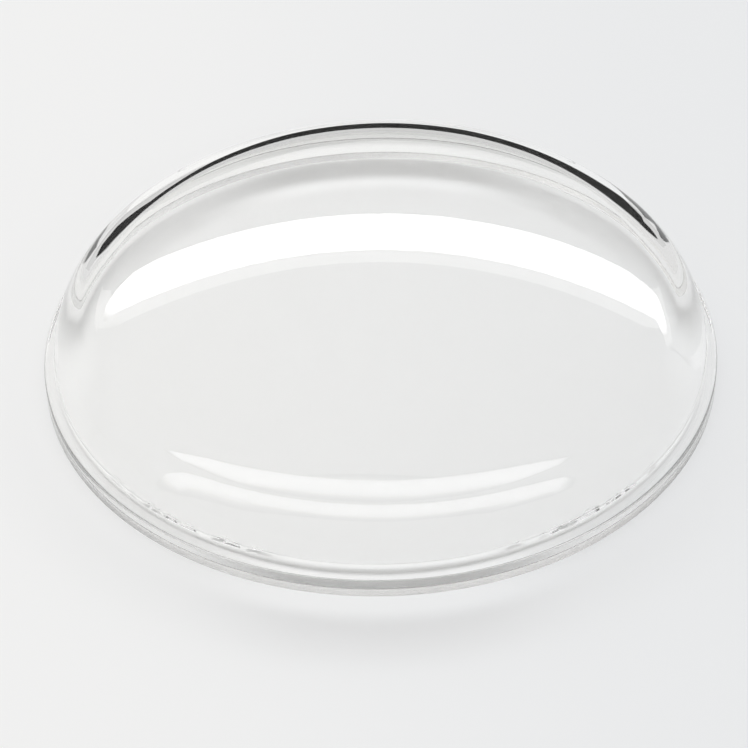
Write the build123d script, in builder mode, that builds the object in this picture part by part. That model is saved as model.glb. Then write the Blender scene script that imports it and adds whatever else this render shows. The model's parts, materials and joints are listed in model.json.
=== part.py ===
from build123d import *

import os
from math import asin, cos, degrees, radians, sin

# A clear domed watch crystal, turned and polished from one acrylic moulding.
# The origin is the centre of the flat base, and +Z runs up the axis of the dome.

# Flange: the lip at the base that the case and its bezel clamp
flange_radius = 15.0
flange_width = 0.44
flange_height = 0.95
flange_round = 0.12
base_chamfer = 0.05

# Outer wall: the short turned band above the flange that the bezel grips
band_height = 0.53

# Turned edge: the narrow ledge where the band ends and the polished dome begins
ledge_width = 0.04

# Outer dome: the angles are the surface's slope from level, steep at the shoulder
shoulder_radius = 2.45
shoulder_start_angle = 88.0
shoulder_end_angle = 26.4
haunch_radius = 7.0
haunch_end_angle = 18.0

# Hollow: the bore that slides over the neck of the case, and the inner dome above it
skirt_wall = 0.51
bore_corner_radius = 1.43
bore_wall_angle = 90.0
inner_haunch_radius = 3.5
inner_haunch_end_angle = 48.0
crown_wall = 1.49
inner_crown_step = 1.2


def on_arc(centre, radius, slope_angle):
    """Point of an arc where the surface has this slope from level."""
    turn = radians(slope_angle)
    return (centre[0] + radius * sin(turn), centre[1] + radius * cos(turn))


def arc_centre(point, radius, slope_angle):
    """Centre of the arc that passes through a point with this slope from level."""
    turn = radians(slope_angle)
    return (point[0] - radius * sin(turn), point[1] - radius * cos(turn))


# The band stands inside the flange, and the bore inside the band
wall_radius = flange_radius - flange_width
bore_radius = wall_radius - skirt_wall

# Outer dome, worked upwards from the turned edge, each arc tangent to the one before
edge_height = flange_height + band_height
dome_edge = (wall_radius - ledge_width, edge_height)
shoulder_middle_angle = (shoulder_start_angle + shoulder_end_angle) / 2
shoulder_centre = arc_centre(dome_edge, shoulder_radius, shoulder_start_angle)
shoulder_middle = on_arc(shoulder_centre, shoulder_radius, shoulder_middle_angle)
shoulder_top = on_arc(shoulder_centre, shoulder_radius, shoulder_end_angle)
haunch_middle_angle = (shoulder_end_angle + haunch_end_angle) / 2
haunch_centre = arc_centre(shoulder_top, haunch_radius, shoulder_end_angle)
haunch_middle = on_arc(haunch_centre, haunch_radius, haunch_middle_angle)
haunch_top = on_arc(haunch_centre, haunch_radius, haunch_end_angle)
crown_radius = haunch_top[0] / sin(radians(haunch_end_angle))
crown_centre = arc_centre(haunch_top, crown_radius, haunch_end_angle)
crown_middle = on_arc(crown_centre, crown_radius, haunch_end_angle / 2)
apex = (0, crown_centre[1] + crown_radius)

# Inner dome, worked outwards from under the apex: crown, haunch and corner are tangent,
# and the corner runs into the bore wall.
inner_crown_radius = crown_radius - inner_crown_step
inner_apex = (0, apex[1] - crown_wall)
inner_crown_centre = (0, inner_apex[1] - inner_crown_radius)
inner_steepness = sin(radians(inner_haunch_end_angle))
corner_run = bore_corner_radius * (1 - inner_steepness)
haunch_centre_reach = bore_radius - corner_run - inner_haunch_radius * inner_steepness
inner_crown_end_sine = haunch_centre_reach / (inner_crown_radius - inner_haunch_radius)
inner_crown_end_angle = degrees(asin(inner_crown_end_sine))
inner_haunch_middle_angle = (inner_crown_end_angle + inner_haunch_end_angle) / 2
corner_middle_angle = (inner_haunch_end_angle + bore_wall_angle) / 2
inner_crown_middle = on_arc(inner_crown_centre, inner_crown_radius, inner_crown_end_angle / 2)
inner_crown_end = on_arc(inner_crown_centre, inner_crown_radius, inner_crown_end_angle)
inner_haunch_centre = arc_centre(inner_crown_end, inner_haunch_radius, inner_crown_end_angle)
inner_haunch_middle = on_arc(inner_haunch_centre, inner_haunch_radius, inner_haunch_middle_angle)
inner_haunch_end = on_arc(inner_haunch_centre, inner_haunch_radius, inner_haunch_end_angle)
corner_centre = arc_centre(inner_haunch_end, bore_corner_radius, inner_haunch_end_angle)
corner_middle = on_arc(corner_centre, bore_corner_radius, corner_middle_angle)
bore_top = on_arc(corner_centre, bore_corner_radius, bore_wall_angle)

with BuildPart() as crystal:
    with BuildSketch(Plane.XZ):
        with BuildLine():
            Polyline(
                apex,
                (0, 0),
                (flange_radius, 0),
                (flange_radius, flange_height),
                (wall_radius, flange_height),
                (wall_radius, edge_height),
                dome_edge,
            )
            ThreePointArc(dome_edge, shoulder_middle, shoulder_top)
            ThreePointArc(shoulder_top, haunch_middle, haunch_top)
            ThreePointArc(haunch_top, crown_middle, apex)
        make_face()
    revolve(axis=Axis.Z)

    with BuildSketch(Plane.XZ):
        with BuildLine():
            ThreePointArc(inner_apex, inner_crown_middle, inner_crown_end)
            ThreePointArc(inner_crown_end, inner_haunch_middle, inner_haunch_end)
            ThreePointArc(inner_haunch_end, corner_middle, bore_top)
            Polyline(bore_top, (bore_radius, 0), (0, 0), inner_apex)
        make_face()
    revolve(axis=Axis.Z, mode=Mode.SUBTRACT)

    rims = crystal.edges().filter_by(lambda edge: edge.is_closed)
    lip_rim = rims.group_by(SortBy.RADIUS)[-1].sort_by(Axis.Z)[-1]
    fillet(lip_rim, flange_round)
    chamfer(crystal.edges().group_by(Axis.Z)[0], base_chamfer)

crystal.part.label = "crystal"
os.makedirs("parts", exist_ok=True)
export_step(crystal.part, "parts/crystal.step")
print("crown radius", round(crown_radius, 3))
print("overall height", round(apex[1], 3))
print("inner dome height", round(inner_apex[1], 3))
print("bore wall height", round(bore_top[1], 3))
print("volume", round(crystal.part.volume, 2))
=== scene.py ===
"""The looks of a clear domed watch crystal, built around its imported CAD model.

The crystal is one turned and polished acrylic moulding. Its section is drawn here from the same
sizes as the CAD model and turned round the axis, so that the dome is smooth enough to bend light well.
Everything is in metres, in the frame of the CAD model: the flat base lies at z = 0 and +Z is up.
"""

import json
import logging
from dataclasses import dataclass
from enum import Enum
from math import asin, atan, cos, degrees, pi, radians, sin

import bmesh
import bpy
from mathutils import Matrix, Vector

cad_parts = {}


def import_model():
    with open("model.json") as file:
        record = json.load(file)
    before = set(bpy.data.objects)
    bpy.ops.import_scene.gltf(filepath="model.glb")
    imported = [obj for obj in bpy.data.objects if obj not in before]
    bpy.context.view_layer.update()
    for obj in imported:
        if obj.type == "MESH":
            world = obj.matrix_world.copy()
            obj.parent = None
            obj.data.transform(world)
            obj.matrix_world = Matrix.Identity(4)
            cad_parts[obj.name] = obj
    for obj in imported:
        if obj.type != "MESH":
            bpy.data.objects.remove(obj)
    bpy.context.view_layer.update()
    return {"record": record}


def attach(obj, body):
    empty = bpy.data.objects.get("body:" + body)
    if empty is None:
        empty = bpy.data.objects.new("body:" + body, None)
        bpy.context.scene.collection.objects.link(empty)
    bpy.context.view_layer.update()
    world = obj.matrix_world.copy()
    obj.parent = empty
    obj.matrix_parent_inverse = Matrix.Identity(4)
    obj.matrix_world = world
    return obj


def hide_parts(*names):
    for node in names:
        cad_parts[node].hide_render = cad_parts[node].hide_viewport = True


log = logging.getLogger("watch_crystal")

MM = 0.001
FRAME_PIXELS = 748

# Slopes of a surface from level, in degrees
LEVEL = 0.0
UPRIGHT = 90.0

WHITE = (1.0, 1.0, 1.0, 1.0)

Point = tuple[float, float]
Place = tuple[float, float, float]


class SeenBy(Enum):
    """Which rays meet a card: those that only mirror or bend, or those that light the floor too."""

    REFLECTIONS = "reflections"
    ALL_LIGHT = "all light"


class DarkTo(Enum):
    """Which view of a dark shape is dark: off the crystal's outside, or turned back inside its wall."""

    OUTSIDE_MIRROR = "outside mirror"
    INSIDE_MIRROR = "inside mirror"


def on_arc(centre: Point, radius: float, slope_angle: float) -> Point:
    """Find the point of an arc where its surface has a given slope.

    Args:
        centre: Centre of the arc, as radius and height.
        radius: Radius of the arc.
        slope_angle: Slope of the surface from level, in degrees.

    Returns:
        The point, as radius and height.
    """
    turn = radians(slope_angle)
    return (centre[0] + radius * sin(turn), centre[1] + radius * cos(turn))


def arc_centre(point: Point, radius: float, slope_angle: float) -> Point:
    """Find the centre of the arc that passes through a point with a given slope there.

    Args:
        point: Point on the arc, as radius and height.
        radius: Radius of the arc.
        slope_angle: Slope of the surface at the point, in degrees.

    Returns:
        The centre, as radius and height.
    """
    turn = radians(slope_angle)
    return (point[0] - radius * sin(turn), point[1] - radius * cos(turn))


def arc_points(centre: Point, radius: float, first: float, last: float, spans: int) -> list[Point]:
    """Divide an arc into even spans.

    Args:
        centre: Centre of the arc, as radius and height.
        radius: Radius of the arc.
        first: Slope in degrees at the first point.
        last: Slope in degrees at the last point.
        spans: Number of spans between the two.

    Returns:
        The points after the first one, up to the last.
    """
    return [on_arc(centre, radius, first + (last - first) * k / spans) for k in range(1, spans + 1)]


def line_points(start: Point, end: Point, spans: int) -> list[Point]:
    """Divide a straight line into even spans.

    Args:
        start: First end of the line.
        end: Last end of the line.
        spans: Number of spans between the two.

    Returns:
        The points after the start, up to the end.
    """
    return [
        (start[0] + (end[0] - start[0]) * k / spans, start[1] + (end[1] - start[1]) * k / spans)
        for k in range(1, spans + 1)
    ]


def link_object(name: str, mesh: bpy.types.Mesh) -> bpy.types.Object:
    """Put a mesh into the scene as an object at the origin.

    Args:
        name: Name of the object.
        mesh: Its mesh.

    Returns:
        The new object.
    """
    piece = bpy.data.objects.new(name, mesh)
    bpy.context.scene.collection.objects.link(piece)
    return piece


def socket_kind(value: object) -> str:
    """Name the kind of node socket that holds a value.

    Args:
        value: A material, a whole number or a real number.

    Returns:
        The type name of the socket.
    """
    if isinstance(value, bpy.types.Material):
        return "NodeSocketMaterial"
    return "NodeSocketInt" if isinstance(value, int) else "NodeSocketFloat"


def new_geometry_tree(name: str, values: dict[str, object]) -> bpy.types.NodeTree:
    """Start a Geometry Nodes tree that takes a geometry and gives one back.

    Args:
        name: Name of the tree.
        values: Its other inputs, each with a value of the kind that the input takes.

    Returns:
        The tree, with its inputs and no nodes yet.
    """
    group = bpy.data.node_groups.new(name, "GeometryNodeTree")
    group.interface.new_socket("Geometry", in_out="INPUT", socket_type="NodeSocketGeometry")
    for title, value in values.items():
        group.interface.new_socket(title, in_out="INPUT", socket_type=socket_kind(value))
    group.interface.new_socket("Geometry", in_out="OUTPUT", socket_type="NodeSocketGeometry")
    return group


class NodeTree:
    """A node tree under construction, with short calls to add and join its nodes."""

    def __init__(self, tree: bpy.types.NodeTree) -> None:
        """Start from an existing tree and clear it.

        Args:
            tree: The tree to fill.
        """
        self.tree = tree
        self.tree.nodes.clear()

    def add(self, kind: str, settings: dict | None = None, inputs: dict | None = None) -> bpy.types.Node:
        """Add a node.

        Args:
            kind: Type name of the node.
            settings: Attributes to set on it.
            inputs: What each input socket gets, by name or number: an output to join to it, or a value.

        Returns:
            The new node.
        """
        node = self.tree.nodes.new(kind)
        for name, value in (settings or {}).items():
            setattr(node, name, value)
        for socket, value in (inputs or {}).items():
            if isinstance(value, bpy.types.NodeSocket):
                self.tree.links.new(value, node.inputs[socket])
            else:
                node.inputs[socket].default_value = value
        return node

    def math(self, operation: str, *values: object) -> bpy.types.NodeSocket:
        """Add a math node in the kind that this tree uses.

        Args:
            operation: Name of the operation.
            values: Its operands, each an output or a number.

        Returns:
            The result's output.
        """
        return self.add("ShaderNodeMath", {"operation": operation}, dict(enumerate(values))).outputs[0]

    def mix(self, share: bpy.types.NodeSocket, first: object, second: object) -> bpy.types.NodeSocket:
        """Add a node that goes from one number to another.

        Args:
            share: Share of the second number.
            first: Number at share 0, or an output.
            second: Number at share 1, or an output.

        Returns:
            The result's output.
        """
        return self.add("ShaderNodeMix", {"data_type": "FLOAT"}, {0: share, 2: first, 3: second}).outputs[0]

    def ramp(
        self, value: bpy.types.NodeSocket, start: object, end: object, curve: str = "SMOOTHSTEP"
    ) -> bpy.types.NodeSocket:
        """Add a node that rises from 0 to 1 as a value goes from start to end.

        Args:
            value: The value.
            start: Where the rise starts, as a number or an output.
            end: Where the rise ends, as a number or an output.
            curve: Name of the curve between them.

        Returns:
            The result's output.
        """
        span = {"Value": value, "From Min": start, "From Max": end}
        return self.add("ShaderNodeMapRange", {"interpolation_type": curve}, span).outputs[0]

    def any_of(self, count: bpy.types.NodeSocket) -> bpy.types.NodeSocket:
        """Turn a count of bounces into 1 where there is any, and 0 where there is none.

        Args:
            count: The count.

        Returns:
            The result's output.
        """
        return self.math("MINIMUM", count, 1.0)

    def light(self, colour: object, strength: object) -> bpy.types.NodeSocket:
        """Add a shader that gives light.

        Args:
            colour: Its colour, or an output.
            strength: Its strength, or an output.

        Returns:
            The shader's output.
        """
        return self.add("ShaderNodeEmission", inputs={"Color": colour, "Strength": strength}).outputs[0]

    def blend(
        self, share: bpy.types.NodeSocket, first: bpy.types.NodeSocket, second: bpy.types.NodeSocket
    ) -> bpy.types.NodeSocket:
        """Add a shader that goes from one shader to another.

        Args:
            share: Share of the second shader.
            first: Shader at share 0.
            second: Shader at share 1.

        Returns:
            The mixed shader's output.
        """
        return self.add("ShaderNodeMixShader", inputs={0: share, 1: first, 2: second}).outputs[0]

    def surface(self, shader: bpy.types.NodeSocket) -> None:
        """Make a shader the material's surface.

        Args:
            shader: The shader's output.
        """
        self.add("ShaderNodeOutputMaterial", inputs={"Surface": shader})


def new_material(name: str) -> tuple[bpy.types.Material, NodeTree]:
    """Start a material.

    Args:
        name: Name of the material.

    Returns:
        The material and its tree, with no nodes yet.
    """
    material = bpy.data.materials.new(name)
    material.use_nodes = True
    return material, NodeTree(material.node_tree)


@dataclass(frozen=True)
class ClearAcrylic:
    """Water-clear acrylic: polished domes, and finely turned walls from the base up to the turned edge.

    The turned walls are those below turned_height and outside turned_radius. Their roughness is even by the
    even share, and varies with the grooves and the haze by the other two shares.
    """

    turned_height: float
    turned_radius: float
    name: str = "clear_acrylic"
    tint: tuple[float, float, float] = (0.996, 0.995, 0.986)
    refraction_index: float = 1.49
    polished_roughness: float = 0.012
    turned_roughness: float = 0.07
    edge_roughness: float = 0.35
    edge_width: float = 0.03 * MM
    base_roughness: float = 0.30
    base_height: float = 0.02 * MM
    haze_scale: float = 260.0
    haze_detail: float = 3.0
    groove_scale: float = 26000.0
    groove_detail: float = 2.0
    groove_depth: float = 0.0002 * MM
    even_share: float = 0.45
    groove_share: float = 0.6
    haze_share: float = 0.5

    def material(self) -> bpy.types.Material:
        """Build the material.

        Returns:
            The finished material.
        """
        material, tree = new_material(self.name)
        place = tree.add("ShaderNodeTexCoord").outputs["Object"]
        axes = tree.add("ShaderNodeSeparateXYZ", inputs={0: place}).outputs
        across = tree.math("MULTIPLY", axes["X"], axes["X"])
        radius = tree.math("SQRT", tree.math("MULTIPLY_ADD", axes["Y"], axes["Y"], across))
        low = tree.math("LESS_THAN", axes["Z"], self.turned_height)
        wide = tree.math("GREATER_THAN", radius, self.turned_radius)
        turned = tree.math("MULTIPLY", low, wide)
        # Fine grooves run round the turned walls: their pattern changes only along the section
        along = tree.math("MULTIPLY", tree.math("ADD", radius, axes["Z"]), self.groove_scale)
        grooves = tree.add(
            "ShaderNodeTexNoise",
            {"noise_dimensions": "1D"},
            {"W": along, "Scale": 1.0, "Detail": self.groove_detail},
        ).outputs[0]
        haze = tree.add(
            "ShaderNodeTexNoise",
            inputs={"Vector": place, "Scale": self.haze_scale, "Detail": self.haze_detail},
        ).outputs[0]
        polished = tree.math("MULTIPLY", haze, self.polished_roughness)
        varied = tree.math("MULTIPLY_ADD", grooves, self.groove_share, self.even_share)
        varied = tree.math("MULTIPLY_ADD", haze, self.haze_share, varied)
        base = tree.math("LESS_THAN", axes["Z"], self.base_height)
        edge = tree.math("GREATER_THAN", axes["Z"], self.turned_height - self.edge_width)
        rough = tree.mix(edge, self.turned_roughness, self.edge_roughness)
        rough = tree.math("MULTIPLY", varied, tree.mix(base, rough, self.base_roughness))
        roughness = tree.mix(turned, polished, rough)
        height = tree.math("MULTIPLY", tree.math("MULTIPLY", grooves, turned), self.groove_depth)
        bump = tree.add("ShaderNodeBump", inputs={"Strength": 1.0, "Distance": 1.0, "Height": height})
        glass = tree.add(
            "ShaderNodeBsdfPrincipled",
            inputs={
                "Base Color": (*self.tint, 1),
                "Roughness": roughness,
                "IOR": self.refraction_index,
                "Transmission Weight": 1.0,
                "Normal": bump.outputs[0],
            },
        )
        tree.surface(glass.outputs[0])
        return material


@dataclass(frozen=True)
class PalePaper:
    """The pale floor: part of its light is steady, also through the crystal, and the rest keeps the shadow.

    The steady light drifts from left_light to right_light over drift_half to each side of the crystal, a
    painted shade that leaves the floor darker and bluer to the right, and it is through_gain times as strong
    to a view through the crystal, painted light which makes up for what the acrylic takes. The rings paint
    light and shade
    round the crystal: they give the steady share at distances from the axis in millimetres, low under the rim
    and in the shadow round it, where the real shadow shows, and high in a painted ring of light where the rim
    throws its light. Away from the middle, from side_start to side_full, they give way to the side rings. The
    hollow rings do the same for the floor inside the rim, and are wider by hollow_width from side to side
    than from front to back. Away from the middle and behind it, from back_start to back_full, they give way
    to the softer hollow back rings.
    """

    name: str = "pale_paper"
    colour: tuple[float, float, float] = (0.86, 0.86, 0.86)
    # Painted shade: the steady light is darker and bluer to the right.
    left_light: tuple[float, float, float] = (0.885, 0.885, 0.88)
    right_light: tuple[float, float, float] = (0.81, 0.82, 0.83)
    drift_half: float = 18.0 * MM
    # Painted light and shade: where the steady share is high, painted light covers the floor in a ring where
    # the rim throws its light; where it is low, the real shadow under and round the rim shows.
    painted_light_rings: tuple[Point, ...] = (
        (13.95, 0.05),
        (14.25, 1.0),
        (15.6, 0.95),
        (16.7, 0.45),
        (17.9, 0.45),
        (19.6, 0.80),
    )
    # Painted light and shade rings for the sides of the crystal.
    painted_side_light_rings: tuple[Point, ...] = (
        (13.55, 0.05),
        (13.95, 0.62),
        (14.25, 0.72),
        (15.6, 0.80),
        (16.7, 0.70),
        (17.9, 0.70),
        (19.6, 0.80),
    )
    side_start: float = 3.0 * MM
    side_full: float = 9.0 * MM
    # Painted light and shade rings for the floor inside the rim, seen through the crystal.
    painted_hollow_light_rings: tuple[Point, ...] = (
        (11.6, 0.59),
        (12.3, 0.80),
        (13.1, 0.05),
    )
    # Softer painted light and shade rings for the floor inside the rim, away from the middle and behind it.
    painted_hollow_back_light_rings: tuple[Point, ...] = (
        (11.6, 0.59),
        (12.3, 0.38),
        (13.1, 0.33),
    )
    back_start: float = -5.0 * MM
    back_full: float = 10.0 * MM
    hollow_width: float = 1.06
    rings_reach: float = 25.0
    # Painted light: the floor seen through the crystal is made brighter.
    through_gain: float = 1.2

    def rings(
        self, tree: NodeTree, place: bpy.types.NodeSocket, steps: tuple[Point, ...]
    ) -> bpy.types.NodeSocket:
        """Change the share of painted light with the distance from the axis.

        Args:
            tree: The material's tree.
            place: The place on the floor.
            steps: Distance in millimetres and share, from the axis outwards.

        Returns:
            The share at the place.
        """
        distance = tree.add("ShaderNodeVectorMath", {"operation": "LENGTH"}, {0: place}).outputs["Value"]
        reach = tree.math("DIVIDE", distance, self.rings_reach * MM)
        ramp = tree.add("ShaderNodeValToRGB", inputs={0: reach})
        ramp.color_ramp.interpolation = "EASE"
        for radius, _ in steps[1:-1]:
            ramp.color_ramp.elements.new(radius / self.rings_reach)
        for element, (radius, share) in zip(ramp.color_ramp.elements, steps):
            element.position = radius / self.rings_reach
            element.color = (share, share, share, 1)
        return ramp.outputs[0]

    def material(self) -> bpy.types.Material:
        """Build the material.

        Returns:
            The finished material.
        """
        material, tree = new_material(self.name)
        rays = tree.add("ShaderNodeLightPath").outputs
        seen = tree.math("MAXIMUM", rays["Is Camera Ray"], rays["Is Glossy Ray"])
        seen = tree.math("MAXIMUM", seen, rays["Is Transmission Ray"])
        place = tree.add("ShaderNodeTexCoord").outputs["Object"]
        axes = tree.add("ShaderNodeSeparateXYZ", inputs={0: place}).outputs
        narrow = tree.add(
            "ShaderNodeVectorMath", {"operation": "MULTIPLY"}, {0: place, 1: (1 / self.hollow_width, 1, 1)}
        ).outputs[0]
        # Painted light and shade: the rings set where the steady light covers the real shadow.
        side = tree.ramp(tree.math("ABSOLUTE", axes["X"]), self.side_start, self.side_full)
        middle = self.rings(tree, place, self.painted_light_rings)
        outer = tree.mix(side, middle, self.rings(tree, place, self.painted_side_light_rings))
        back = tree.ramp(axes["Y"], self.back_start, self.back_full)
        softer = self.rings(tree, narrow, self.painted_hollow_back_light_rings)
        hollow = self.rings(tree, narrow, self.painted_hollow_light_rings)
        hollow = tree.mix(tree.math("MULTIPLY", side, back), hollow, softer)
        share = tree.math("MULTIPLY", seen, tree.math("MAXIMUM", outer, hollow))
        # Painted shade: the steady light darkens and turns bluer towards the right.
        drift = tree.ramp(axes["X"], -self.drift_half, self.drift_half)
        colour = tree.add(
            "ShaderNodeMix",
            {"data_type": "RGBA"},
            {0: drift, 6: (*self.left_light, 1), 7: (*self.right_light, 1)},
        ).outputs[2]
        paper = tree.add("ShaderNodeBsdfDiffuse", inputs={"Color": (*self.colour, 1)})
        # Painted light: the steady light is stronger to a view through the crystal.
        gain = tree.math("MULTIPLY_ADD", rays["Is Transmission Ray"], self.through_gain - 1, 1.0)
        tree.surface(tree.blend(share, paper.outputs[0], tree.light(colour, gain)))
        return material


@dataclass(frozen=True)
class DarkShade:
    """A dark shape that only one kind of mirrored ray meets; all others pass through it."""

    name: str
    dark_to: DarkTo
    strength: float = 0.01

    def material(self) -> bpy.types.Material:
        """Build the material.

        Returns:
            The finished material.
        """
        material, tree = new_material(self.name)
        rays = tree.add("ShaderNodeLightPath").outputs
        mirrored = tree.any_of(rays["Glossy Depth"])
        bent = tree.any_of(rays["Transmission Depth"])
        kind = bent if self.dark_to is DarkTo.INSIDE_MIRROR else tree.math("SUBTRACT", 1.0, bent)
        met = tree.math("MULTIPLY", mirrored, kind)
        clear = tree.add("ShaderNodeBsdfTransparent")
        tree.surface(tree.blend(met, clear.outputs[0], tree.light(WHITE, self.strength)))
        return material


@dataclass(frozen=True)
class CardLight:
    """The light of a card as it shows in the crystal.

    The ghost share scales it for a view mirrored inside the crystal's wall, and the through share for a view
    straight through the crystal. The fades are shares of the card over which its light falls away.
    """

    name: str
    strength: float
    ghost_share: float = 1.0
    through_share: float = 1.0
    low_fade: float = 0.01
    high_fade: float = 0.01
    left_fade: float = 0.01
    right_fade: float = 0.01

    def fade(
        self, tree: NodeTree, across: bpy.types.NodeSocket, low: float, high: float
    ) -> bpy.types.NodeSocket:
        """Fade the light towards two opposite edges of the card.

        Args:
            tree: The material's tree.
            across: Place across the card, 0 at one edge and 1 at the other.
            low: Share of the width over which the side at 0 fades.
            high: Share of the width over which the side at 1 fades.

        Returns:
            The share of the light that is left.
        """
        rising = tree.ramp(across, 0.0, low, "SMOOTHERSTEP")
        falling = tree.ramp(tree.math("SUBTRACT", 1.0, across), 0.0, high, "SMOOTHERSTEP")
        return tree.math("MULTIPLY", rising, falling)

    def material(self) -> bpy.types.Material:
        """Build the material.

        Returns:
            The finished material.
        """
        material, tree = new_material(self.name)
        rays = tree.add("ShaderNodeLightPath").outputs
        mirrored = tree.any_of(rays["Glossy Depth"])
        bent = tree.any_of(rays["Transmission Depth"])
        ghost = tree.math("MULTIPLY_ADD", bent, self.ghost_share - 1, 1.0)
        through = tree.math("MULTIPLY_ADD", bent, self.through_share - 1, 1.0)
        share = tree.mix(tree.any_of(rays["Diffuse Depth"]), tree.mix(mirrored, through, ghost), 1.0)
        strength = tree.math("MULTIPLY", share, self.strength)
        place = tree.add("ShaderNodeSeparateXYZ", inputs={0: tree.add("ShaderNodeUVMap").outputs[0]}).outputs
        across = self.fade(tree, place["Y"], self.low_fade, self.high_fade)
        along = self.fade(tree, place["X"], self.left_fade, self.right_fade)
        strength = tree.math("MULTIPLY", strength, tree.math("MULTIPLY", across, along))
        tree.surface(tree.light(WHITE, strength))
        return material


@dataclass(frozen=True)
class FloorGlow:
    """Light that only reaches the floor: the view, mirrored or bent by the crystal, passes through it."""

    name: str
    strength: float

    def material(self) -> bpy.types.Material:
        """Build the material.

        Returns:
            The finished material.
        """
        material, tree = new_material(self.name)
        rays = tree.add("ShaderNodeLightPath").outputs
        depth = tree.math("ADD", rays["Glossy Depth"], rays["Transmission Depth"])
        unlit = tree.math("SUBTRACT", 1.0, tree.any_of(rays["Diffuse Depth"]))
        viewed = tree.math("MULTIPLY", tree.any_of(depth), unlit)
        clear = tree.add("ShaderNodeBsdfTransparent")
        tree.surface(tree.blend(viewed, tree.light(WHITE, self.strength), clear.outputs[0]))
        return material


@dataclass(frozen=True)
class SectionSpans:
    """How many straight spans stand for each stretch of the crystal's section."""

    flange_wall: int = 4
    lip: int = 6
    flange_top: int = 3
    band: int = 6
    shoulder: int = 26
    haunch: int = 10
    crown: int = 28
    inner_haunch: int = 12
    bore_corner: int = 10
    bore_wall: int = 2


@dataclass
class WatchCrystal:
    """The crystal: flange, band, turned edge, domed outside and hollow inside, all one moulding.

    The radii of the band and the bore come from the CAD model's mounts. The wear is nicks in the turned edge,
    within wear_zone of its height, deepest at the two wear angles and gone at wear_spread degrees from them.
    The nicks start where the grain passes wear_onset and are whole at wear_full.
    """

    band_radius: float
    bore_radius: float
    flange_radius: float = 15.0 * MM
    flange_height: float = 0.95 * MM
    flange_round: float = 0.12 * MM
    base_chamfer: float = 0.05 * MM
    band_height: float = 0.53 * MM
    ledge_width: float = 0.04 * MM
    shoulder_radius: float = 2.45 * MM
    shoulder_start_angle: float = 88.0
    shoulder_end_angle: float = 26.4
    haunch_radius: float = 7.0 * MM
    haunch_end_angle: float = 18.0
    bore_corner_radius: float = 1.43 * MM
    inner_haunch_radius: float = 3.5 * MM
    inner_haunch_end_angle: float = 48.0
    crown_wall: float = 1.49 * MM
    inner_crown_step: float = 1.2 * MM
    wear_angles: tuple[float, float] = (236.0, 307.0)
    wear_spread: float = 22.0
    wear_zone: float = 0.11 * MM
    wear_depth: float = 0.11 * MM
    wear_drop_share: float = 0.8
    wear_grain: float = 1500.0
    wear_roughness: float = 0.7
    wear_onset: float = 0.42
    wear_full: float = 0.62
    wear_seed: float = 7.0
    turned_overlap: float = 0.005 * MM
    bore_overlap: float = 0.01 * MM
    spans: SectionSpans = SectionSpans()
    steps_around: int = 640
    sharp_angle: float = 25.0
    merge_distance: float = 0.0001 * MM

    @classmethod
    def from_mounts(cls, mounts: list[dict]) -> "WatchCrystal":
        """Take the radii of the band and the bore from the mounts of the CAD model.

        Args:
            mounts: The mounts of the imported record.

        Returns:
            The crystal, ready to build.
        """
        dims = {mount["name"]: mount["dims"] for mount in mounts}
        return cls(dims["bezel_band"]["r_mm"] * MM, dims["case_bore"]["r_mm"] * MM)

    @property
    def edge_height(self) -> float:
        """Height of the turned edge, where the band ends."""
        return self.flange_height + self.band_height

    def acrylic(self) -> ClearAcrylic:
        """Give the clear acrylic, told where this crystal's turned walls are."""
        return ClearAcrylic(self.edge_height + self.turned_overlap, self.bore_radius - self.bore_overlap)

    def outside(self) -> list[Point]:
        """Draw the outside of the section, from the base up to the axis.

        Returns:
            Points as radius and height.
        """
        rim, wall, lip, spans = self.flange_radius, self.band_radius, self.flange_round, self.spans
        points = [(rim - self.base_chamfer, 0.0), (rim, self.base_chamfer)]
        points += line_points(points[-1], (rim, self.flange_height - lip), spans.flange_wall)
        points += arc_points((rim - lip, self.flange_height - lip), lip, UPRIGHT, LEVEL, spans.lip)
        points += line_points(points[-1], (wall, self.flange_height), spans.flange_top)
        points += line_points(points[-1], (wall, self.edge_height), spans.band)
        edge = (wall - self.ledge_width, self.edge_height)
        points.append(edge)
        start, middle, end = self.shoulder_start_angle, self.shoulder_end_angle, self.haunch_end_angle
        shoulder = arc_centre(edge, self.shoulder_radius, start)
        points += arc_points(shoulder, self.shoulder_radius, start, middle, spans.shoulder)
        haunch = arc_centre(points[-1], self.haunch_radius, middle)
        points += arc_points(haunch, self.haunch_radius, middle, end, spans.haunch)
        crown_radius = points[-1][0] / sin(radians(end))
        crown = arc_centre(points[-1], crown_radius, end)
        points += arc_points(crown, crown_radius, end, LEVEL, spans.crown)
        return points

    def inside(self, apex: float, crown_radius: float) -> list[Point]:
        """Draw the hollow of the section, from the axis out and down to the base.

        Args:
            apex: Height of the outer dome at the axis.
            crown_radius: Radius of the outer crown.

        Returns:
            Points as radius and height.
        """
        radius = crown_radius - self.inner_crown_step
        top = apex - self.crown_wall
        steep, spans = self.inner_haunch_end_angle, self.spans
        corner_run = self.bore_corner_radius * (1 - sin(radians(steep)))
        haunch_run = self.inner_haunch_radius * sin(radians(steep))
        reach = self.bore_radius - corner_run - haunch_run
        crown_end = degrees(asin(reach / (radius - self.inner_haunch_radius)))
        points = [(0.0, top)]
        points += arc_points((0.0, top - radius), radius, LEVEL, crown_end, spans.crown)
        haunch = arc_centre(points[-1], self.inner_haunch_radius, crown_end)
        points += arc_points(haunch, self.inner_haunch_radius, crown_end, steep, spans.inner_haunch)
        corner = arc_centre(points[-1], self.bore_corner_radius, steep)
        points += arc_points(corner, self.bore_corner_radius, steep, UPRIGHT, spans.bore_corner)
        points += line_points(points[-1], (self.bore_radius, self.base_chamfer), spans.bore_wall)
        points.append((self.bore_radius + self.base_chamfer, 0.0))
        return points

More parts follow.
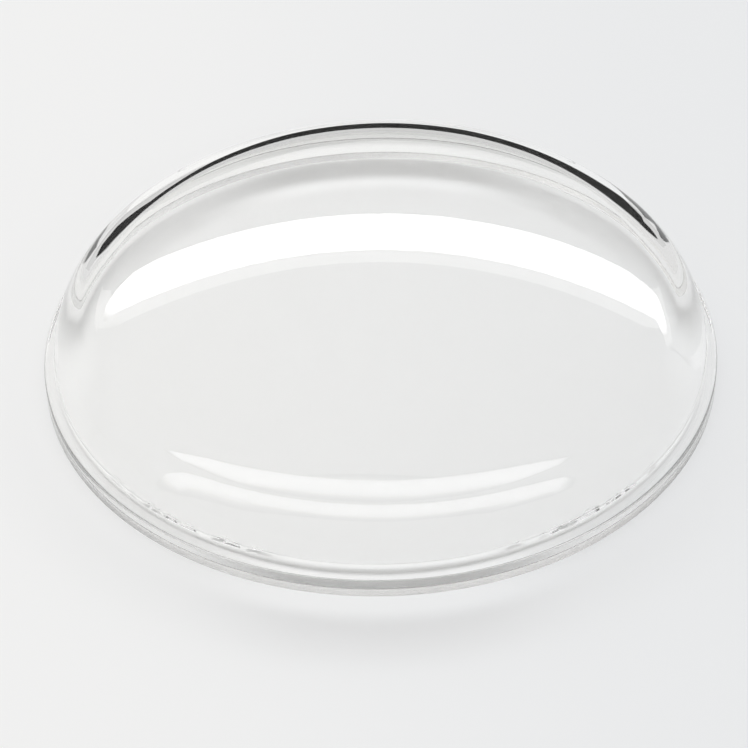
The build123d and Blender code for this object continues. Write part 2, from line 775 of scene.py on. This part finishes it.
    def section(self) -> list[Point]:
        """Draw the whole section, down the hollow from the axis and up the outside to it again.

        Returns:
            Points as radius and height.
        """
        outside = self.outside()
        crown_start = outside[-1 - self.spans.crown]
        crown_radius = crown_start[0] / sin(radians(self.haunch_end_angle))
        return self.inside(outside[-1][1], crown_radius) + outside

    def turning_values(self) -> dict[str, object]:
        """Name the inputs of the tree that turns the section.

        Returns:
            What each input gets.
        """
        first, second = self.wear_angles
        return {
            "Steps Around": self.steps_around,
            "Merge Distance": self.merge_distance,
            "Edge Height": self.edge_height,
            "Edge Radius": self.bore_radius,
            "First Wear Angle": first,
            "Second Wear Angle": second,
            "Wear Spread": self.wear_spread,
            "Wear Zone": self.wear_zone,
            "Wear Depth": self.wear_depth,
            "Wear Drop Share": self.wear_drop_share,
            "Wear Grain": self.wear_grain,
            "Wear Roughness": self.wear_roughness,
            "Wear Onset": self.wear_onset,
            "Wear Full": self.wear_full,
            "Wear Seed": self.wear_seed,
            "Material": self.acrylic().material(),
        }

    def lathe_tree(self, values: dict[str, object]) -> bpy.types.NodeTree:
        """Build the Geometry Nodes tree that turns a section round the axis.

        Args:
            values: The tree's inputs, each with what it gets.

        Returns:
            The tree.
        """
        group = new_geometry_tree("lathe", values)
        tree = NodeTree(group)
        given = tree.add("NodeGroupInput").outputs
        count = tree.add("GeometryNodeAttributeDomainSize", inputs={"Geometry": given["Geometry"]})
        rows = tree.math("ADD", given["Steps Around"], 1)
        columns = count.outputs["Point Count"]
        sheet = tree.add(
            "GeometryNodeMeshGrid",
            inputs={"Size X": 1.0, "Size Y": 1.0, "Vertices X": columns, "Vertices Y": rows},
        )
        index = tree.add("GeometryNodeInputIndex").outputs[0]
        row = tree.math("MODULO", index, rows)
        column = tree.math("FLOOR", tree.math("DIVIDE", tree.math("ADD", index, 0.5), rows))
        angle = tree.math("DIVIDE", tree.math("MULTIPLY", row, 2 * pi), given["Steps Around"])
        place = tree.add("GeometryNodeInputPosition").outputs[0]
        picked = tree.add(
            "GeometryNodeSampleIndex",
            {"data_type": "FLOAT_VECTOR", "domain": "POINT"},
            {"Geometry": given["Geometry"], "Value": place, "Index": column},
        )
        turned = tree.add(
            "ShaderNodeVectorRotate",
            {"rotation_type": "Z_AXIS"},
            {"Vector": picked.outputs[0], "Angle": angle},
        )
        moved = tree.add(
            "GeometryNodeSetPosition", inputs={"Geometry": sheet.outputs[0], "Position": turned.outputs[0]}
        )
        merged = tree.add(
            "GeometryNodeMergeByDistance",
            inputs={"Geometry": moved.outputs[0], "Distance": given["Merge Distance"]},
        )
        worn = self.wear(tree, merged.outputs[0], given)
        real = tree.add("GeometryNodeRealizeInstances", inputs={"Geometry": worn})
        dressed = tree.add(
            "GeometryNodeSetMaterial",
            inputs={"Geometry": real.outputs[0], "Material": given["Material"]},
        )
        tree.add("NodeGroupOutput", inputs={"Geometry": dressed.outputs[0]})
        return group

    def wear(
        self, tree: NodeTree, geometry: bpy.types.NodeSocket, given: bpy.types.bpy_prop_collection
    ) -> bpy.types.NodeSocket:
        """Nick the turned edge inwards, at two places round it.

        Args:
            tree: The tree that turns the section.
            geometry: The turned mesh.
            given: The tree's inputs.

        Returns:
            The worn mesh.
        """
        place = tree.add("GeometryNodeInputPosition").outputs[0]
        axes = tree.add("ShaderNodeSeparateXYZ", inputs={0: place}).outputs
        flat = tree.add("ShaderNodeCombineXYZ", inputs={0: axes["X"], 1: axes["Y"]}).outputs[0]
        radius = tree.add("ShaderNodeVectorMath", {"operation": "LENGTH"}, {0: flat}).outputs["Value"]
        above = tree.math("ABSOLUTE", tree.math("SUBTRACT", axes["Z"], given["Edge Height"]))
        at_edge = tree.math("LESS_THAN", above, given["Wear Zone"])
        at_edge = tree.math("MULTIPLY", at_edge, tree.math("GREATER_THAN", radius, given["Edge Radius"]))
        angle = tree.math("DEGREES", tree.math("ARCTAN2", axes["Y"], axes["X"]))
        angle = tree.math("FLOORED_MODULO", angle, 360.0)
        near = []
        for name in ("First Wear Angle", "Second Wear Angle"):
            off = tree.math("ABSOLUTE", tree.math("SUBTRACT", angle, given[name]))
            off = tree.math("MINIMUM", tree.math("DIVIDE", off, given["Wear Spread"]), 1.0)
            near.append(tree.math("SUBTRACT", 1.0, off))
        place_share = tree.math("MAXIMUM", *near)
        grain = tree.add(
            "ShaderNodeTexNoise",
            {"noise_dimensions": "4D"},
            {
                "Vector": place,
                "W": given["Wear Seed"],
                "Scale": given["Wear Grain"],
                "Roughness": given["Wear Roughness"],
            },
        ).outputs[0]
        bite = tree.ramp(grain, given["Wear Onset"], given["Wear Full"])
        depth = tree.math("MULTIPLY", tree.math("MULTIPLY", bite, place_share), given["Wear Depth"])
        depth = tree.math("MULTIPLY", depth, at_edge)
        inwards = tree.add("ShaderNodeVectorMath", {"operation": "NORMALIZE"}, {0: flat}).outputs[0]
        back = tree.math("MULTIPLY", depth, -1.0)
        step = tree.add("ShaderNodeVectorMath", {"operation": "SCALE"}, {0: inwards, "Scale": back})
        drop = tree.math("MULTIPLY", back, given["Wear Drop Share"])
        down = tree.add("ShaderNodeCombineXYZ", inputs={2: drop})
        steps = {0: step.outputs[0], 1: down.outputs[0]}
        move = tree.add("ShaderNodeVectorMath", {"operation": "ADD"}, steps).outputs[0]
        return tree.add("GeometryNodeSetPosition", inputs={"Geometry": geometry, "Offset": move}).outputs[0]

    def build(self) -> bpy.types.Object:
        """Turn the section into the finished crystal.

        Returns:
            The crystal as one closed mesh.
        """
        points = self.section()
        half = bpy.data.meshes.new("half_section")
        half.from_pydata([(r, 0.0, z) for r, z in points], [(k, k + 1) for k in range(len(points) - 1)], [])
        blank = link_object("turning_blank", half)
        values = self.turning_values()
        turned = run_tree(blank, self.lathe_tree(values), values)
        bpy.data.objects.remove(blank)
        shell = bmesh.new()
        shell.from_mesh(turned)
        bmesh.ops.recalc_face_normals(shell, faces=shell.faces)
        shell.to_mesh(turned)
        shell.free()
        turned.shade_smooth()
        turned.set_sharp_from_angle(angle=radians(self.sharp_angle))
        piece = link_object("clear_crystal", turned)
        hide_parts("crystal")
        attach(piece, "root")
        return piece


def run_tree(blank: bpy.types.Object, tree: bpy.types.NodeTree, values: dict[str, object]) -> bpy.types.Mesh:
    """Run a Geometry Nodes tree on an object and keep the result as a plain mesh.

    Args:
        blank: The object that the tree starts from.
        tree: The tree.
        values: What each named input of the tree gets.

    Returns:
        The new mesh.
    """
    modifier = blank.modifiers.new(tree.name, "NODES")
    modifier.node_group = tree
    for item in tree.interface.items_tree:
        if item.in_out == "INPUT" and item.name in values:
            modifier[item.identifier] = values[item.name]
    graph = bpy.context.evaluated_depsgraph_get()
    mesh = bpy.data.meshes.new_from_object(blank.evaluated_get(graph))
    blank.modifiers.remove(modifier)
    return mesh


@dataclass
class Studio:
    """The pale floor, the lamps and the dark surround that the crystal mirrors and bends.

    The shade and mirror outlines are in millimetres, and the window and bar outlines in shares of the lamps'
    distance. Each row gives the side and two edges: the lower and the upper one for the shades and the
    window, and the near and the back one for the bar. The glow's shares are of its own distance.
    """

    floor_half: float = 1.5
    floor_gap: float = 0.03 * MM
    lamp_distance: float = 1500.0 * MM
    shade_distance: float = 20.0
    mirror_distance: float = 20.8
    shade_outline: tuple[Place, ...] = (
        (-20.5, 5.9, 6.1),
        (-20.0, 5.3, 6.6),
        (-19.2, 4.5, 7.0),
        (-18.3, 4.15, 6.9),
        (-17.2, 3.65, 6.9),
        (-15.9, 4.0, 6.6),
        (-14.2, 4.65, 6.1),
        (-12.2, 4.05, 5.6),
        (-9.5, 2.6, 4.8),
        (-4.9, 0.7, 3.65),
        (0.5, -0.1, 3.14),
        (4.9, 0.2, 3.25),
        (9.0, 1.1, 3.9),
        (12.0, 1.75, 4.75),
        (13.5, 1.9, 5.3),
        (15.1, 1.75, 5.8),
        (16.2, 2.4, 5.9),
        (17.4, 3.05, 5.9),
        (17.9, 4.0, 6.0),
        (18.6, 4.15, 6.0),
        (19.4, 4.6, 5.6),
        (19.8, 5.0, 5.2),
    )
    mirror_outline: tuple[Place, ...] = (
        (-24.0, 4.0, 7.4),
        (-21.0, 3.6, 7.6),
        (-19.3, 3.4, 7.6),
        (-17.5, 3.2, 7.7),
        (-15.0, 4.2, 7.8),
        (-10.3, 4.5, 6.9),
        (-4.2, 3.1, 6.0),
        (0.5, 2.7, 5.7),
        (5.0, 2.8, 5.8),
        (8.4, 3.2, 6.2),
        (14.2, 3.5, 6.9),
        (16.5, 3.1, 7.3),
        (18.7, 2.4, 7.5),
        (20.6, 2.2, 7.3),
        (22.5, 3.0, 6.8),
    )
    room_strength: float = 0.75
    window_outline: tuple[Place, ...] = (
        (-0.665, 0.745, 0.755),
        (-0.64, 0.70, 0.742),
        (-0.61, 0.66, 0.738),
        (-0.55, 0.60, 0.741),
        (-0.49, 0.555, 0.746),
        (-0.43, 0.54, 0.75),
        (-0.25, 0.543, 0.757),
        (0.05, 0.551, 0.769),
        (0.35, 0.567, 0.785),
        (0.44, 0.579, 0.79),
        (0.515, 0.594, 0.795),
        (0.58, 0.627, 0.799),
        (0.622, 0.66, 0.802),
        (0.73, 0.70, 0.812),
        (0.80, 0.735, 0.83),
        (0.86, 0.765, 0.84),
        (0.905, 0.79, 0.835),
        (0.93, 0.805, 0.82),
    )
    bar_outline: tuple[Place, ...] = (
        (-0.80, 0.17, 0.21),
        (-0.70, 0.08, 0.24),
        (-0.45, -0.06, 0.235),
        (0.0, -0.12, 0.20),
        (0.35, -0.10, 0.175),
        (0.56, 0.0, 0.155),
        (0.64, 0.07, 0.13),
    )
    window_light: CardLight = CardLight(
        "window_light", 6.0, ghost_share=0.32, through_share=0.15, left_fade=0.16, right_fade=0.2
    )
    bar_light: CardLight = CardLight(
        "bar_light", 3.8, low_fade=0.5, high_fade=0.15, left_fade=0.2, right_fade=0.2
    )
    glow_light: FloorGlow = FloorGlow("floor_glow", 3.8)
    glow_distance: float = 1400.0 * MM
    glow_side_share: float = 0.9
    glow_low_share: float = 0.40
    glow_high_share: float = 0.97
    floor_strength: float = 0.56

    def card(
        self,
        name: str,
        rails: list[tuple[Place, Place]],
        finish: CardLight | DarkShade | FloorGlow,
        seen_by: SeenBy,
    ) -> bpy.types.Object:
        """Hang one card.

        Args:
            name: Name of the card.
            rails: Its lower and upper edge point at each station, from left to right.
            finish: Its light.
            seen_by: Which rays meet it.

        Returns:
            The card.
        """
        mesh = bpy.data.meshes.new(name)
        last = len(rails) - 1
        quads = [(2 * k, 2 * k + 2, 2 * k + 3, 2 * k + 1) for k in range(last)]
        mesh.from_pydata([end for rail in rails for end in rail], [], quads)
        sheet = mesh.uv_layers.new(name="sheet")
        for loop, corner in zip(sheet.data, mesh.loops):
            loop.uv = (corner.vertex_index // 2 / last, corner.vertex_index % 2)
        mesh.materials.append(finish.material())
        card = link_object(name, mesh)
        card.visible_camera = False
        card.visible_shadow = False
        card.visible_diffuse = seen_by is SeenBy.ALL_LIGHT
        return card

    def floor(self, finish: PalePaper) -> bpy.types.Object:
        """Lay the floor just under the base.

        Args:
            finish: Its material.

        Returns:
            The floor, marked as stage.
        """
        half, level = self.floor_half, -self.floor_gap
        mesh = bpy.data.meshes.new("floor")
        corners = [(-half, -half, level), (half, -half, level), (half, half, level), (-half, half, level)]
        mesh.from_pydata(corners, [], [(0, 1, 2, 3)])
        mesh.materials.append(finish.material())
        floor = link_object("floor", mesh)
        return floor

    def window(self) -> bpy.types.Object:
        """Hang the wide window behind, whose mirror image is the bright crescent; floor_glow() is its light.

        Returns:
            The window's card.
        """
        far = self.lamp_distance
        rails = [
            ((x * far, far, low * far), (x * far, far, high * far)) for x, low, high in self.window_outline
        ]
        return self.card("rear_window", rails, self.window_light, SeenBy.REFLECTIONS)

    def floor_glow(self) -> bpy.types.Object:
        """Hang the broad glow round the window that lights the floor from behind and casts the soft shadow.

        Returns:
            The glow's card.
        """
        far = self.glow_distance
        half = self.glow_side_share * far
        low, high = self.glow_low_share * far, self.glow_high_share * far
        rails = [((x, far, low), (x, far, high)) for x in (-half, half)]
        return self.card("floor_glow", rails, self.glow_light, SeenBy.ALL_LIGHT)

    def bar(self) -> bpy.types.Object:
        """Hang the long lamp overhead, whose mirror images are the two lower bands.

        Returns:
            The lamp's card.
        """
        up = self.lamp_distance
        rails = [((x * up, near * up, up), (x * up, back * up, up)) for x, near, back in self.bar_outline]
        return self.card("overhead_bar", rails, self.bar_light, SeenBy.ALL_LIGHT)

    def shade(
        self, name: str, outline: tuple[Place, ...], distance: float, dark_to: DarkTo
    ) -> bpy.types.Object:
        """Hang one of the dark shapes behind, which together make the black arc along the far rim.

        Args:
            name: Name of the shape.
            outline: Side, lower edge and upper edge at each station, in millimetres.
            distance: How far behind the axis it hangs, in millimetres.
            dark_to: Which mirror image it darkens.

        Returns:
            The shape's card.
        """
        far = distance * MM
        rails = [((x * MM, far, low * MM), (x * MM, far, high * MM)) for x, low, high in outline]
        return self.card(name, rails, DarkShade(name, dark_to), SeenBy.REFLECTIONS)

    def world(self) -> None:
        """Set the even light of the room: white to the camera, and dimmer on its way to the floor."""
        world = bpy.data.worlds.new("room_light")
        bpy.context.scene.world = world
        world.use_nodes = True
        tree = NodeTree(world.node_tree)
        rays = tree.add("ShaderNodeLightPath").outputs
        strength = tree.mix(tree.any_of(rays["Diffuse Depth"]), self.room_strength, self.floor_strength)
        strength = tree.mix(rays["Is Camera Ray"], strength, 1.0)
        light = tree.add("ShaderNodeBackground", inputs={"Color": WHITE, "Strength": strength})
        tree.add("ShaderNodeOutputWorld", inputs={"Surface": light.outputs[0]})

    def build(self) -> list[bpy.types.Object]:
        """Set up the whole studio.

        Returns:
            The floor and the cards.
        """
        self.world()
        return [
            self.floor(PalePaper()),
            self.window(),
            self.floor_glow(),
            self.bar(),
            self.shade("inner_shade", self.shade_outline, self.shade_distance, DarkTo.INSIDE_MIRROR),
            self.shade("outer_shade", self.mirror_outline, self.mirror_distance, DarkTo.OUTSIDE_MIRROR),
        ]


@dataclass
class PhotoCamera:
    """The camera, as fitted to the rim and the outline in the photograph.

    The focal length is in pixels of the photograph, and the aims are slopes away from the centre of the base.
    """

    distance: float = 135.0 * MM
    elevation: float = 40.79
    roll: float = 1.19
    focal_pixels: float = 3004.56
    aim_right: float = -0.0023
    aim_down: float = -0.0049
    sensor_width: float = 36.0

    def build(self) -> bpy.types.Object:
        """Place the camera and make it the scene's own.

        Returns:
            The camera.
        """
        rise = radians(self.elevation)
        forward = Vector((0, cos(rise), -sin(rise)))
        right = Vector((1, 0, 0))
        down = right.cross(forward) * -1
        eye = -self.distance * forward
        yaw, pitch = atan(self.aim_right), atan(self.aim_down)
        level = Matrix((right, -down, forward))
        turn_yaw = Matrix(((cos(yaw), 0, -sin(yaw)), (0, 1, 0), (sin(yaw), 0, cos(yaw))))
        turn_pitch = Matrix(((1, 0, 0), (0, cos(pitch), -sin(pitch)), (0, sin(pitch), cos(pitch))))
        spin = radians(self.roll)
        turn_roll = Matrix(((cos(spin), -sin(spin), 0), (sin(spin), cos(spin), 0), (0, 0, 1)))
        axes = turn_roll @ turn_pitch @ turn_yaw @ level
        lens = bpy.data.cameras.new("photo_camera")
        lens.sensor_fit = "HORIZONTAL"
        lens.sensor_width = self.sensor_width
        lens.lens = self.sensor_width * self.focal_pixels / FRAME_PIXELS
        lens.clip_start = 1.0 * MM
        camera = bpy.data.objects.new("photo_camera", lens)
        bpy.context.scene.collection.objects.link(camera)
        place = Matrix((axes[0], axes[1], -axes[2])).transposed().to_4x4()
        place.translation = eye
        camera.matrix_world = place
        bpy.context.scene.camera = camera
        return camera


def main() -> None:
    """Build the crystal, the studio and the camera, in order."""
    logging.basicConfig(level=logging.INFO, format="%(message)s")
    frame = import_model()
    bpy.context.scene.view_settings.view_transform = "Standard"
    camera = PhotoCamera().build()
    log.info("camera: lens %.1f mm", camera.data.lens)
    crystal = WatchCrystal.from_mounts(frame["record"]["mounts"]).build()
    log.info("crystal: %d faces", len(crystal.data.polygons))
    for stage_piece in Studio().build():
        log.info("studio: %s", stage_piece.name)
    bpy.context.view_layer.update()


if __name__ == "__main__":
    main()
